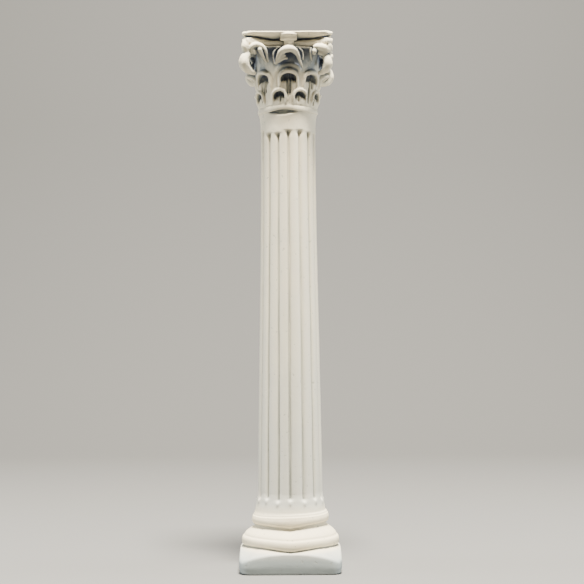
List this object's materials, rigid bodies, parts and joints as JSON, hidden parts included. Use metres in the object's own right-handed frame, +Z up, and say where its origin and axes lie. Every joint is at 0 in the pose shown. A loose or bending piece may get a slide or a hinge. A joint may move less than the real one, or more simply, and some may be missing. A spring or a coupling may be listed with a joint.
{
  "type": "plaster column",
  "caption": "Small free-standing plaster column with a square plinth, moulded round base, fluted tapering shaft, leafed capital with corner scrolls and a hollow-sided abacus.",
  "frame": {"origin": "centre of the square underside of the plinth", "axes": "+Z up along the shaft, -Y out of the front face, X and Y square to the plinth's sides"},
  "size_m": [0.0506, 0.0506, 0.267],
  "materials": {
    "plaster": "matte"
  },
  "bodies": {
    "root": {"plaster_column": "plaster"}
  },
  "joints": []
}
